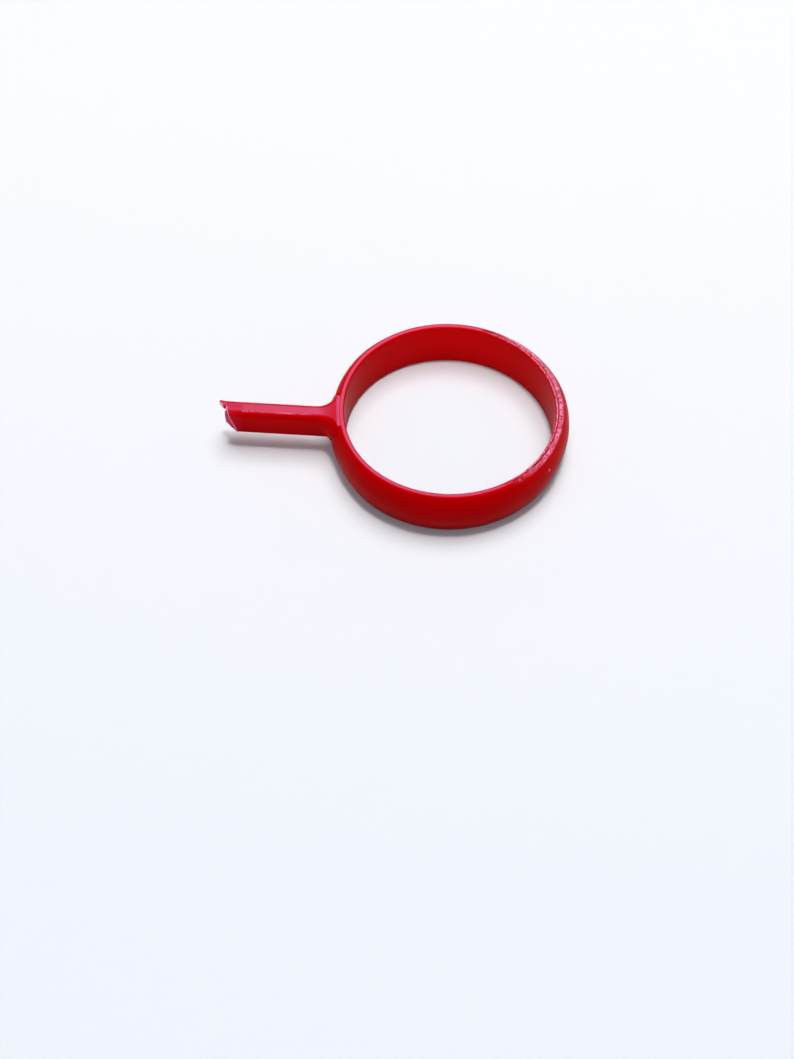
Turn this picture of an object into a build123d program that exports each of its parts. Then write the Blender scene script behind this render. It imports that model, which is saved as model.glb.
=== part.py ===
from build123d import *
import os
from math import pi, radians, sin, sqrt, tan

# A closed ring stitch marker with a short snapped tail. The real one is a single shot of red
# polyethylene, so the solids below are the natural regions of that one moulding, and they meet
# face to face. Lengths are in millimetres and angles in degrees. +Z is up and the ring lies flat.
# The origin is the centre of the bore at mid height. The tail runs along -X, and its near side
# faces -Y. Places along the tail are counted outwards from the ring's centre.

# Ring: a straight bore, a domed outer wall, and a narrow lip above and below.
BORE_RADIUS = 9.0
BAND_HEIGHT = 4.4
LIP_WIDTH = 0.45
DOME_RISE = 0.65
LIP_OUTER_ROUNDING = 0.2
BORE_TOP_ROUNDING = 0.15
BORE_LOW_ROUNDING = 0.25

# Tail: an upright bar with a rounded crown that is nearly level with the ring's upper lip, so its
# underside is well above the table. Its middle lies aside of the ring's centre, towards -Y.
TAIL_WIDTH = 1.6
TAIL_HEIGHT = 2.35
TAIL_RAISE = 1.85
TAIL_ASIDE = 1.1
TAIL_CROWN_ROUNDING = 0.5
TAIL_FOOT_ROUNDING = 0.12

# Root: the flare where the tail grows out of the domed wall, broad at the crown and tight at the
# foot. It sinks a little into the wall, so that its edge keeps a thickness, and a short land joins
# it to the plain bar.
ROOT_NEAR_FILLET = 1.7
ROOT_FAR_FILLET = 1.45
ROOT_LOW_FILLET = 0.45
ROOT_FOOT_FILLET = 0.3
ROOT_SINK = 0.05
ROOT_LAND = 0.2
ROOT_BITE = 0.3
ROOT_STEPS = 12

# Torn end: the core breaks back at a slant, its skin stands proud along the near side and the
# crown, and a spur of the far top corner is left over a notch. The first three reaches are counted
# from the start of the tear, and the spur's blade is counted from the notch.
TEAR_START = 17.2
CORNER_REACH = 0.55
NOTCH_REACH = 1.25
CORE_REACH = 1.65
BLADE_REACH = 0.8
CORE_SLANT = 45.0
CORE_LEAN = -3.0
SKIN_THICKNESS = 0.2
SKIN_SLANT = 13.5
SKIN_LEAN = 14.3
NOTCH_CREST = 0.26
NOTCH_FALL_ALONG = 43.0
NOTCH_FALL_ACROSS = 55.0
SPUR_WIDTH = 0.76
SPUR_DEPTH = 0.45
SPUR_TIP_DEPTH = 0.22
SPUR_LIFT = 0.15
SPUR_SLANT = 41.0

# Flash: a ragged burr left on the bore's upper edge, on the side away from the tail.
FLASH_WIDTH = 0.2
FLASH_HEIGHT = 0.12
FLASH_FIRST_ANGLE = -56.0
FLASH_LAST_ANGLE = 74.0
FLASH_COUNT = 17
FLASH_CREST_SHARE = 0.35
FLASH_FILL_SHARES = (0.72, 0.45, 0.83, 0.58, 0.9)
FLASH_HEIGHT_SHARES = (0.6, 1.0, 0.75, 0.5, 0.9, 0.65, 0.85)

# One overrun serves all cuts.
OVERRUN = 1.0

HALF_HEIGHT = BAND_HEIGHT / 2
LIP_RADIUS = BORE_RADIUS + LIP_WIDTH
RING_RADIUS = LIP_RADIUS + DOME_RISE
DOME_RADIUS = (HALF_HEIGHT**2 + DOME_RISE**2) / (2 * DOME_RISE)
DOME_CENTRE = RING_RADIUS - DOME_RADIUS
HALF_WIDTH = TAIL_WIDTH / 2
TAIL_LOW = TAIL_RAISE - HALF_HEIGHT
TAIL_HIGH = TAIL_LOW + TAIL_HEIGHT
SHOULDER = TAIL_HIGH - TAIL_CROWN_ROUNDING
NEAR_CORNER = TEAR_START + CORNER_REACH
NOTCH_START = TEAR_START + NOTCH_REACH
CORE_END = TEAR_START + CORE_REACH
SPUR_END = NOTCH_START + BLADE_REACH


def rounded(face, radius, *corners):
    """The flat face with each of its corners at the given points rounded."""
    for point in corners:
        face = fillet(face.vertices().sort_by_distance(point)[0], radius)
    return face


def upright_block(foot, crown):
    """Section across the tail: its foot and its crown, each a near side, a far side and a height."""
    low = [(-foot[0], foot[2]), (foot[1], foot[2])]
    high = [(crown[1], crown[2]), (-crown[0], crown[2])]
    face = make_face(Polyline(*low, *high, close=True))
    return rounded(rounded(face, TAIL_FOOT_ROUNDING, *low), TAIL_CROWN_ROUNDING, *high)


def tail_section():
    """Section of the plain bar."""
    return upright_block((HALF_WIDTH, HALF_WIDTH, TAIL_LOW), (HALF_WIDTH, HALF_WIDTH, TAIL_HIGH))


def set_aside(shape):
    """What is drawn round the middle of the tail, moved to the tail's place aside of the ring's centre."""
    return Pos(0, -TAIL_ASIDE, 0) * shape


def standing_at(face, place):
    """A flat section stood across the tail at a place along it."""
    return Plane.YZ.offset(-place) * face


def along_tail(face, start, end):
    """A flat section carried along the tail from one place to another."""
    return extrude(standing_at(face, end), end - start)


def band_section(inner_radius):
    """Half section of the ring, radius across and height up, with its outer corners rounded."""
    crest = (RING_RADIUS, 0)
    lip_top = (LIP_RADIUS, HALF_HEIGHT)
    lip_low = (LIP_RADIUS, -HALF_HEIGHT)
    wall_top = (inner_radius, HALF_HEIGHT)
    wall_low = (inner_radius, -HALF_HEIGHT)
    outline = Line(wall_low, wall_top) + Line(wall_top, lip_top)
    outline += ThreePointArc(lip_top, crest, lip_low) + Line(lip_low, wall_low)
    return rounded(make_face(outline), LIP_OUTER_ROUNDING, lip_top, lip_low)


def ring_section():
    """Half section of the ring: its bore is straight, with a rounding above and a larger one below."""
    section = rounded(band_section(BORE_RADIUS), BORE_TOP_ROUNDING, (BORE_RADIUS, HALF_HEIGHT))
    return rounded(section, BORE_LOW_ROUNDING, (BORE_RADIUS, -HALF_HEIGHT))


def ring_band():
    """The closed ring."""
    return revolve(Plane.XZ * ring_section(), Axis.Z)


def ring_disc():
    """The ring's outer form with no bore, which trims what grows out of its wall."""
    return revolve(Plane.XZ * band_section(0), Axis.Z)


def flare(across, height, radius):
    """Where a fillet beside or over the tail starts on the bar and ends on the domed wall.

    The fillet is a ball of the given radius that rolls along the tail at a place across it and at
    a height, until it touches the wall.
    """
    wall = DOME_RADIUS - ROOT_SINK
    out = sqrt((wall + radius) ** 2 - height**2)
    start = sqrt((DOME_CENTRE + out) ** 2 - across**2)
    return start, start * (DOME_CENTRE + out * wall / (wall + radius)) / (DOME_CENTRE + out)


def near_flare():
    """The fillet of the tail's near side, at the height where the crown's rounding starts."""
    return flare(TAIL_ASIDE + HALF_WIDTH + ROOT_NEAR_FILLET, SHOULDER, ROOT_NEAR_FILLET)


def far_flare():
    """The fillet of the tail's far side, at the same height."""
    return flare(HALF_WIDTH - TAIL_ASIDE + ROOT_FAR_FILLET, SHOULDER, ROOT_FAR_FILLET)


def low_near_flare():
    """The tight fillet of the near side at the foot."""
    return flare(TAIL_ASIDE + HALF_WIDTH + ROOT_LOW_FILLET, TAIL_LOW, ROOT_LOW_FILLET)


def low_far_flare():
    """The tight fillet of the far side at the foot."""
    return flare(HALF_WIDTH - TAIL_ASIDE + ROOT_LOW_FILLET, TAIL_LOW, ROOT_LOW_FILLET)


def foot_flare():
    """The fillet under the tail's foot."""
    return flare(TAIL_ASIDE, TAIL_LOW - ROOT_FOOT_FILLET, ROOT_FOOT_FILLET)


def growth(place, ends, radius):
    """How far a fillet of a radius has grown at a place between its start and its end."""
    run = min(max(ends[0] - place, 0), ends[0] - ends[1])
    return radius - sqrt(radius**2 - run**2)


def root_section(place):
    """The bar's section, grown by the fillets of its sides and foot at a place."""
    near = HALF_WIDTH + growth(place, near_flare(), ROOT_NEAR_FILLET)
    far = HALF_WIDTH + growth(place, far_flare(), ROOT_FAR_FILLET)
    low_near = HALF_WIDTH + growth(place, low_near_flare(), ROOT_LOW_FILLET)
    low_far = HALF_WIDTH + growth(place, low_far_flare(), ROOT_LOW_FILLET)
    low = TAIL_LOW - growth(place, foot_flare(), ROOT_FOOT_FILLET)
    return upright_block((low_near, low_far, low), (near, far, TAIL_HIGH))


def root_start():
    """The place where the first of the root's fillets starts to grow out of the plain bar."""
    return max(near_flare()[0], far_flare()[0])


def root_end():
    """The place where the root's land meets the plain bar."""
    return root_start() + ROOT_LAND


def tail_root():
    """The flare between the domed wall and the tail: sections joined inwards, cut to the wall."""
    touch = min(near_flare()[1], far_flare()[1])
    run = root_start() - touch
    steps = [root_start() - run * sin(pi / 2 * n / ROOT_STEPS) for n in range(ROOT_STEPS)]
    fillets = loft([standing_at(root_section(place), place) for place in steps + [touch]], ruled=True)
    bite = along_tail(root_section(touch), touch - ROOT_BITE, touch)
    land = along_tail(tail_section(), root_start(), root_end())
    return set_aside(land + fillets + bite) - ring_disc()


def tail_bar():
    """The plain bar between the root and the torn end."""
    return set_aside(along_tail(tail_section(), root_end(), TEAR_START))


def tear_plane(slant, lean):
    """Plane through the tail's near low corner, facing out, slanted across and leaning upwards."""
    corner = (-NEAR_CORNER, -HALF_WIDTH, TAIL_LOW)
    return Plane(origin=corner, z_dir=(-1, -tan(radians(slant)), -tan(radians(lean))))


def spur_section():
    """The far top corner of the tail's section, which the spur is torn from."""
    far_corner = Pos(HALF_WIDTH - SPUR_WIDTH / 2, TAIL_HIGH - SPUR_DEPTH / 2)
    return tail_section() & far_corner * Rectangle(SPUR_WIDTH, SPUR_DEPTH)


def skin_section():
    """The skin of the near side and the crown, as far as the spur."""
    inner = Pos(SKIN_THICKNESS, -SKIN_THICKNESS) * tail_section()
    return tail_section() - inner - spur_section()


def torn_core():
    """The core of the torn end: a slanted break, squared off at its end, with a notched top."""
    inner = tail_section() & Pos(SKIN_THICKNESS, -SKIN_THICKNESS) * tail_section()
    core = along_tail(inner - spur_section(), TEAR_START, CORE_END)
    core = split(core, bisect_by=tear_plane(CORE_SLANT, CORE_LEAN), keep=Keep.BOTTOM)
    crest = (-NOTCH_START, 0, TAIL_HIGH - NOTCH_CREST)
    floor = Plane(origin=crest, z_dir=(-tan(radians(NOTCH_FALL_ALONG)), tan(radians(NOTCH_FALL_ACROSS)), 1))
    beyond = along_tail(Rectangle(TAIL_WIDTH + OVERRUN, BAND_HEIGHT), NOTCH_START, CORE_END + OVERRUN)
    return set_aside(core - split(beyond, bisect_by=floor, keep=Keep.TOP))


def torn_skin():
    """The thin whitened skin that stands proud of the core along the near side and the crown."""
    skin = along_tail(skin_section(), TEAR_START, CORE_END)
    return set_aside(split(skin, bisect_by=tear_plane(SKIN_SLANT, SKIN_LEAN), keep=Keep.BOTTOM))


def torn_spur():
    """The spur of the far top corner: it thins and turns up, and ends in a slanted break."""
    root = along_tail(spur_section(), TEAR_START, NOTCH_START)
    thinning = SPUR_TIP_DEPTH / SPUR_DEPTH
    tip = Pos(0, TAIL_HIGH + SPUR_LIFT) * scale(Pos(0, -TAIL_HIGH) * spur_section(), (1, thinning, 1))
    blade = loft([standing_at(spur_section(), NOTCH_START), standing_at(tip, SPUR_END)])
    edge = (-SPUR_END, SPUR_WIDTH / 2, TAIL_HIGH)
    tear = Plane(origin=edge, z_dir=(-1, -tan(radians(SPUR_SLANT)), 0))
    return set_aside(split(root + blade, bisect_by=tear, keep=Keep.BOTTOM))


def flash_sliver(height, arc):
    """One sliver of the burr: a fin that stands on the bore's rounded edge and follows it round."""
    low = (BORE_RADIUS, HALF_HEIGHT - BORE_TOP_ROUNDING)
    heel = (BORE_RADIUS + FLASH_WIDTH, HALF_HEIGHT)
    crest = (BORE_RADIUS + FLASH_WIDTH * FLASH_CREST_SHARE, HALF_HEIGHT + height)
    fin = make_face(Polyline(low, heel, crest, close=True)) - ring_section()
    return revolve(Plane.XZ * fin, Axis.Z, revolution_arc=arc)


def rim_flash():
    """The burr as separate slivers of uneven length and height."""
    pitch = (FLASH_LAST_ANGLE - FLASH_FIRST_ANGLE) / FLASH_COUNT
    slivers = []
    for n in range(FLASH_COUNT):
        arc = pitch * FLASH_FILL_SHARES[n % len(FLASH_FILL_SHARES)]
        height = FLASH_HEIGHT * FLASH_HEIGHT_SHARES[n % len(FLASH_HEIGHT_SHARES)]
        slivers.append(Rot(0, 0, FLASH_FIRST_ANGLE + n * pitch) * flash_sliver(height, arc))
    return Compound(children=slivers)


def main():
    """Builds every region of the moulding and writes it under its own name."""
    os.makedirs("parts", exist_ok=True)
    nodes = {
        "ring_band": ring_band(),
        "tail_root": tail_root(),
        "tail_bar": tail_bar(),
        "torn_core": torn_core(),
        "torn_skin": torn_skin(),
        "torn_spur": torn_spur(),
        "rim_flash": rim_flash(),
    }
    for name, shape in nodes.items():
        export_step(shape, f"parts/{name}.step")


if __name__ == "__main__":
    main()
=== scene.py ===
import logging
from dataclasses import dataclass, field
from enum import Enum
from math import asin, atan2, cos, degrees, exp, hypot, pi, radians, sin, sqrt, tan
from typing import Callable, Iterable

import bmesh
import bpy
from mathutils import Matrix, Vector, noise


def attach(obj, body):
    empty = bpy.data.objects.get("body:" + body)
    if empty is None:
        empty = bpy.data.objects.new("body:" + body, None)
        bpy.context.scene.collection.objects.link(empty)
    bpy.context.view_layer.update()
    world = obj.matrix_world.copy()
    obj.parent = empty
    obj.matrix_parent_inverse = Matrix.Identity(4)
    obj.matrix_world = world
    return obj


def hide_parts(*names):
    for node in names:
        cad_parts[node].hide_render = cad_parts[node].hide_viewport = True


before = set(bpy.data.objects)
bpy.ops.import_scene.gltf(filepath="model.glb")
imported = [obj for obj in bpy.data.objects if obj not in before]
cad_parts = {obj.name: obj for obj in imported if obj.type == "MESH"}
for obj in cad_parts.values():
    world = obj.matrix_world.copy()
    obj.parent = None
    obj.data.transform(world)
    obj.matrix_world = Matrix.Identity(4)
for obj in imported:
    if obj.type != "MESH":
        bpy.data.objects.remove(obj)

# A closed ring stitch marker, moulded in one shot of red polyethylene, with a short snapped tail.
# Sizes are in millimetres and are scaled to metres when a mesh is finished. The origin is the
# centre of the bore at mid height, +Z is up, and the tail runs along -X. Places nearer than CLOSE
# count as one, and a length under TINY counts as none.

MM = 0.001
CLOSE = 1e-4
TINY = 1e-6
Triple = tuple[float, float, float]
log = logging.getLogger("stitch_marker")

# Blender's Mix node has several sockets of one name, so those for colours are named by number.
SHARE, FIRST, LAST, RESULT = 0, 6, 7, 2


def linear(code: str) -> tuple[float, float, float, float]:
    """Turns an sRGB hex colour into a linear one.

    Args:
        code: the colour as "#RRGGBB".

    Returns:
        Linear red, green and blue, and an alpha of 1.
    """
    channels = [int(code[n:n + 2], 16) / 255 for n in (1, 3, 5)]
    return (*[c / 12.92 if c <= 0.04045 else ((c + 0.055) / 1.055) ** 2.4 for c in channels], 1.0)


def eased(share: float) -> float:
    """A share from 0 to 1, eased at both ends, and limited to that range."""
    share = min(max(share, 0.0), 1.0)
    return share * share * (3 - 2 * share)


def mixed(first: float, last: float, share: float) -> float:
    """The value at a share of the way from the first to the last."""
    return first + (last - first) * share


def swell(angle: float, centre: float, reach: float) -> float:
    """A soft local swelling round the ring.

    Args:
        angle: the place asked about, in degrees.
        centre: the place where the swelling is highest, in degrees.
        reach: how far it reaches to each side, in degrees.

    Returns:
        1 at the centre, 0 beyond the reach.
    """
    away = abs((angle - centre + 180) % 360 - 180)
    return eased(1 - away / reach) if away < reach else 0.0


def swelling(angle: float, swells: Iterable[Triple]) -> float:
    """The height of several swellings together, each given as its height, its centre and its reach."""
    return sum(high * swell(angle, centre, reach) for high, centre, reach in swells)


@dataclass(frozen=True)
class Waver:
    """Smooth noise for the ragged places, the whitened places and the painted highlight.

    Args:
        change: how far it goes to each side of 0.
        grain: the size of its features, in millimetres.
        start: where in the noise it is taken from, in millimetres, so that no two are alike.
    """

    change: float
    grain: float
    start: Triple = (0.0, 0.0, 0.0)

    def at(self, place: Triple | Vector) -> float:
        """Its value at a place in millimetres."""
        return self.change * noise.noise((Vector(place) + Vector(self.start)) / self.grain)


@dataclass(frozen=True)
class Stretch:
    """A stretch of angles in degrees, or of distances in millimetres, that fades in and out.

    Args:
        first: where it starts.
        last: where it ends.
        fade_in: how far it takes to fade in.
        fade_out: how far it takes to fade out.
    """

    first: float
    last: float
    fade_in: float
    fade_out: float

    def at(self, place: float) -> float:
        """1 well inside the stretch, and 0 outside it."""
        return eased((place - self.first) / self.fade_in) * eased((self.last - place) / self.fade_out)


@dataclass(frozen=True)
class Moulding:
    """Sizes that the regions of the one moulding share, in millimetres and degrees."""

    bore_radius: float = 9.0
    height: float = 4.4
    lip_width: float = 0.45
    dome_rise: float = 0.65
    lip_rounding: float = 0.2
    bore_top_rounding: float = 0.15
    bore_low_rounding: float = 0.25
    tail_width: float = 1.6
    tail_height: float = 2.4
    tail_raise: float = 1.85
    tail_aside: float = 1.1
    crown_rounding: float = 0.5
    foot_rounding: float = 0.12
    root_end: float = 11.43
    tear_start: float = 17.2
    # Painted light from behind on the tail's sides: its strength, its rise from the foot, its fade under the
    # crown.
    painted_side_seep_light: float = 0.22
    seep_rise: float = 1.6
    seep_clear: float = 0.1
    seep_fade: float = 0.3

    @property
    def top(self) -> float:
        """Height of the upper lip over the middle of the band."""
        return self.height / 2

    @property
    def lip_radius(self) -> float:
        """Radius where the lip meets the domed wall."""
        return self.bore_radius + self.lip_width

    @property
    def dome_radius(self) -> float:
        """Radius of the domed wall's curve, seen in section."""
        return (self.top ** 2 + self.dome_rise ** 2) / (2 * self.dome_rise)

    @property
    def dome_centre(self) -> float:
        """Distance from the ring's axis to the centre of that curve."""
        return self.lip_radius + self.dome_rise - self.dome_radius

    @property
    def half_width(self) -> float:
        """Half the tail's width."""
        return self.tail_width / 2

    @property
    def tail_low(self) -> float:
        """Height of the tail's foot."""
        return self.tail_raise - self.top

    @property
    def tail_high(self) -> float:
        """Height of the tail's crown."""
        return self.tail_low + self.tail_height


# Finishes


def add_node(tree: bpy.types.NodeTree, kind: str, settings: dict | None = None,
             links: dict | None = None) -> bpy.types.Node:
    """Adds a node with its settings and links.

    Args:
        tree: the node tree that it goes into.
        kind: the node's type name.
        settings: values of the node's own properties, and of its inputs by name or number.
        links: output sockets to join to its inputs, by input name or number.

    Returns:
        The new node.
    """
    node = tree.nodes.new(kind)
    for name, value in (settings or {}).items():
        if isinstance(name, str) and hasattr(node, name):
            setattr(node, name, value)
        else:
            node.inputs[name].default_value = value
    for name, socket in (links or {}).items():
        tree.links.new(socket, node.inputs[name])
    return node


def ramp(node: bpy.types.Node, stops: Iterable[tuple[float, str]]) -> bpy.types.Node:
    """Sets a colour ramp's stops.

    Args:
        node: the ramp.
        stops: each stop's place from 0 to 1 and its sRGB hex colour.

    Returns:
        The same node.
    """
    elements = node.color_ramp.elements
    stops = list(stops)
    while len(elements) < len(stops):
        elements.new(0.5)
    for element, (place, code) in zip(elements, stops):
        element.position = place
        element.color = linear(code)
    return node


def blank_material(name: str) -> tuple[bpy.types.Material, bpy.types.NodeTree]:
    """Makes a material with an empty node tree.

    Args:
        name: the material's name.

    Returns:
        The material and its node tree.
    """
    material = bpy.data.materials.new(name)
    material.use_nodes = True
    material.node_tree.nodes.clear()
    return material, material.node_tree


@dataclass(frozen=True)
class Polyethylene:
    """Red low-density polyethylene: soft and waxy, so lights show on it as a broad pink sheen.

    Light that enters at the upper lip seeps down through the thin wall, and that light is painted into
    the colour, which is brightest above and deepest at the foot. A vertex attribute paints the light
    from behind that comes through the wall, and the shade attribute paints shade where no light gets in:
    the groove behind the flash and the lip's outermost edges.
    """

    # Colours by height are painted light and shade: lit at the top, dim at the foot.
    painted_lit_top_colour: str = "#CE0001"
    painted_half_lit_colour: str = "#B40000"
    painted_dim_foot_colour: str = "#860000"
    # Painted light from behind that comes through the thin wall.
    painted_seep_light_colour: str = "#FF0206"
    shaded_colour: str = "#4A0008"
    sheen: str = "#B88CF2"
    low: float = -2.2
    high: float = 2.2
    ior: float = 1.51
    roughness: float = 0.33
    specular: float = 0.018
    mottle: float = 1.6
    mottle_detail: float = 3.0
    mottle_share: float = 0.16

    def noise(self, tree: bpy.types.NodeTree, size: float, detail: float) -> bpy.types.NodeSocket:
        """Noise that is laid out in the piece's own coordinates.

        Args:
            tree: the material's node tree.
            size: the size of its features, in millimetres.
            detail: how much finer noise is laid over them.

        Returns:
            The socket that gives the noise.
        """
        place = add_node(tree, "ShaderNodeTexCoord").outputs["Object"]
        settings = {"Scale": 1 / (size * MM), "Detail": detail}
        return add_node(tree, "ShaderNodeTexNoise", settings, {"Vector": place}).outputs["Fac"]

    def body(self, tree: bpy.types.NodeTree) -> bpy.types.NodeSocket:
        """The plastic's colour, faintly mottled, with light and shade painted in by height, then painted
        light from behind and painted shade laid over it.

        Args:
            tree: the material's node tree.

        Returns:
            The socket that gives the colour.
        """
        place = add_node(tree, "ShaderNodeTexCoord").outputs["Object"]
        height = add_node(tree, "ShaderNodeSeparateXYZ", {}, {0: place}).outputs["Z"]
        first = -self.mottle_share / 2
        span = {"From Min": self.low * MM, "From Max": self.high * MM, "To Min": first, "To Max": 1 + first}
        rise = add_node(tree, "ShaderNodeMapRange", span, {"Value": height}).outputs["Result"]
        share = add_node(tree, "ShaderNodeMath", {"operation": "MULTIPLY_ADD", 1: self.mottle_share},
                         {0: self.noise(tree, self.mottle, self.mottle_detail), 2: rise}).outputs[0]
        # Painted light and shade by height: the lit colour above, the dim colour at the foot.
        stops = [(0.0, self.painted_dim_foot_colour), (0.5, self.painted_half_lit_colour), (1.0, self.painted_lit_top_colour)]
        plain = ramp(add_node(tree, "ShaderNodeValToRGB", {}, {"Fac": share}), stops).outputs["Color"]
        # Painted light from behind, laid over where the vertex attribute asks for it.
        painted_seep_light = add_node(tree, "ShaderNodeAttribute", {"attribute_name": "painted_seep_light"}).outputs["Fac"]
        lit = add_node(tree, "ShaderNodeMix", {"data_type": "RGBA", LAST: linear(self.painted_seep_light_colour)},
                       {SHARE: painted_seep_light, FIRST: plain}).outputs[RESULT]
        shade = add_node(tree, "ShaderNodeAttribute", {"attribute_name": "shade"}).outputs["Fac"]
        return add_node(tree, "ShaderNodeMix", {"data_type": "RGBA", LAST: linear(self.shaded_colour)},
                        {SHARE: shade, FIRST: lit}).outputs[RESULT]

    def surface(self, tree: bpy.types.NodeTree, colour: bpy.types.NodeSocket,
                normal: bpy.types.NodeSocket) -> None:
        """Joins a colour and a fine relief into the plastic's surface.

        Args:
            tree: the material's node tree.
            colour: the socket that gives the colour.
            normal: the socket that gives the relief.
        """
        settings = {"IOR": self.ior, "Roughness": self.roughness,
                    "Specular IOR Level": self.specular, "Specular Tint": linear(self.sheen)}
        shader = add_node(tree, "ShaderNodeBsdfPrincipled", settings,
                          {"Base Color": colour, "Normal": normal})
        add_node(tree, "ShaderNodeOutputMaterial", {}, {"Surface": shader.outputs["BSDF"]})


@dataclass(frozen=True)
class MouldedPolyethylene(Polyethylene):
    """The plastic straight from a satin steel mould, whose fine grain it keeps.

    A vertex attribute says where handling and the flash have whitened it in specks, and where the same
    speckled pink is painted on as a glare on the ring's inner wall and as a highlight on the tail's crown.
    """

    scuff_and_sheen_pink: str = "#FF96B8"
    grain: float = 0.16
    grain_detail: float = 2.0
    grain_height: float = 0.004
    grain_strength: float = 0.5
    speckle_from: float = 0.34
    speckle_to: float = 0.56

    def material(self) -> bpy.types.Material:
        """Builds the material."""
        made, tree = blank_material("moulded_red_polyethylene")
        grain = self.noise(tree, self.grain, self.grain_detail)
        # Whitened specks from wear, and painted glare and a painted highlight, all in the same pink.
        scuff_and_sheen = add_node(tree, "ShaderNodeAttribute", {"attribute_name": "scuff_and_sheen"}).outputs["Fac"]
        speckle = add_node(tree, "ShaderNodeMapRange",
                           {"From Min": self.speckle_from, "From Max": self.speckle_to}, {"Value": grain})
        amount = add_node(tree, "ShaderNodeMath", {"operation": "MULTIPLY"},
                          {0: scuff_and_sheen, 1: speckle.outputs["Result"]}).outputs[0]
        colour = add_node(tree, "ShaderNodeMix", {"data_type": "RGBA", LAST: linear(self.scuff_and_sheen_pink)},
                          {SHARE: amount, FIRST: self.body(tree)}).outputs[RESULT]
        bump = {"Strength": self.grain_strength, "Distance": self.grain_height * MM}
        relief = add_node(tree, "ShaderNodeBump", bump, {"Height": grain}).outputs["Normal"]
        self.surface(tree, colour, relief)
        return made


@dataclass(frozen=True)
class TornPolyethylene(Polyethylene):
    """The plastic where it was stretched and torn, which whitens it.

    The stretched skin turns pale pink at its very edge, and the torn core is a matt, fibrous
    pink. The attribute "whitening" says how far the plastic was stretched at each place.
    """

    roughness: float = 0.4
    stretched: str = "#E83C66"
    stretched_at: float = 0.5
    white: str = "#FFDCE6"
    fibre: float = 0.14
    fibre_detail: float = 3.0
    fibre_from: float = 0.3
    fibre_to: float = 0.7
    fibre_height: float = 0.008
    fibre_strength: float = 0.6
    fibre_spread: float = 0.3

    def material(self) -> bpy.types.Material:
        """Builds the material."""
        made, tree = blank_material("torn_red_polyethylene")
        fibre = self.noise(tree, self.fibre, self.fibre_detail)
        whitening = add_node(tree, "ShaderNodeAttribute", {"attribute_name": "whitening"}).outputs["Fac"]
        span = {"From Min": self.fibre_from, "From Max": self.fibre_to,
                "To Min": 1 - self.fibre_spread, "To Max": 1 + self.fibre_spread}
        fibrous = add_node(tree, "ShaderNodeMapRange", span, {"Value": fibre}).outputs["Result"]
        share = add_node(tree, "ShaderNodeMath", {"operation": "MULTIPLY"},
                         {0: whitening, 1: fibrous}).outputs[0]
        pale = ramp(add_node(tree, "ShaderNodeValToRGB", {}, {"Fac": share}),
                    [(self.stretched_at, self.stretched), (1.0, self.white)]).outputs["Color"]
        near = add_node(tree, "ShaderNodeMapRange", {"From Min": 0.0, "From Max": self.stretched_at},
                        {"Value": share})
        colour = add_node(tree, "ShaderNodeMix", {"data_type": "RGBA"},
                          {SHARE: near.outputs["Result"], FIRST: self.body(tree), LAST: pale}).outputs[RESULT]
        bump = {"Strength": self.fibre_strength, "Distance": self.fibre_height * MM}
        relief = add_node(tree, "ShaderNodeBump", bump, {"Height": fibre}).outputs["Normal"]
        self.surface(tree, colour, relief)
        return made


@dataclass(frozen=True)
class MatBoard:
    """The pale coated board that the marker lies on: matt, very slightly blue.

    Part of what the camera sees of it is its own even paleness, so the shadow on it stays faint.
    Inside the ring it is a little less red, which offsets what the red wall throws on it.
    """

    near: str = "#F3F6FC"
    far: str = "#FAFBFE"
    ringed: str = "#F2F8FD"
    ringed_from: float = 9.6
    ringed_to: float = 8.2
    unlit: str = "#F4F6FC"
    evenness: float = 0.08
    fade_start: float = -40.0
    fade_end: float = 40.0

    def material(self) -> bpy.types.Material:
        """Builds the material."""
        made, tree = blank_material("pale_coated_board")
        place = add_node(tree, "ShaderNodeTexCoord").outputs["Object"]
        along = add_node(tree, "ShaderNodeSeparateXYZ", {}, {0: place}).outputs["Y"]
        fade = {"From Min": self.fade_start * MM, "From Max": self.fade_end * MM}
        share = add_node(tree, "ShaderNodeMapRange", fade, {"Value": along}).outputs["Result"]
        colour = ramp(add_node(tree, "ShaderNodeValToRGB", {}, {"Fac": share}),
                      [(0.0, self.near), (1.0, self.far)]).outputs["Color"]
        away = add_node(tree, "ShaderNodeVectorMath", {"operation": "LENGTH"}, {0: place}).outputs["Value"]
        inside = {"From Min": self.ringed_from * MM, "From Max": self.ringed_to * MM}
        ringed = add_node(tree, "ShaderNodeMapRange", inside, {"Value": away})
        colour = add_node(tree, "ShaderNodeMix", {"data_type": "RGBA", LAST: linear(self.ringed)},
                          {SHARE: ringed.outputs["Result"], FIRST: colour}).outputs[RESULT]
        seen = add_node(tree, "ShaderNodeLightPath").outputs["Is Camera Ray"]
        shown = add_node(tree, "ShaderNodeMix", {"data_type": "RGBA", FIRST: linear(self.unlit)},
                         {SHARE: seen, LAST: colour})
        board = add_node(tree, "ShaderNodeBsdfDiffuse", {}, {"Color": shown.outputs[RESULT]}).outputs["BSDF"]
        pale = add_node(tree, "ShaderNodeEmission", {"Strength": 1.0}, {"Color": colour}).outputs["Emission"]
        weight = add_node(tree, "ShaderNodeMath", {"operation": "MULTIPLY", 1: self.evenness}, {0: seen})
        mix = add_node(tree, "ShaderNodeMixShader", {}, {0: weight.outputs[0], 1: board, 2: pale})
        add_node(tree, "ShaderNodeOutputMaterial", {}, {"Surface": mix.outputs["Shader"]})
        return made


class Slot(Enum):
    """The record's material slots."""

    MOULDED = "red_polyethylene"
    TORN = "torn_polyethylene"


@dataclass
class Finishes:
    """The materials, each built once."""

    moulded: bpy.types.Material = field(default_factory=lambda: MouldedPolyethylene().material())
    torn: bpy.types.Material = field(default_factory=lambda: TornPolyethylene().material())

    def of(self, slot: Slot) -> bpy.types.Material:
        """The material for a slot."""
        return {Slot.MOULDED: self.moulded, Slot.TORN: self.torn}[slot]


# Shared mesh steps


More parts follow.
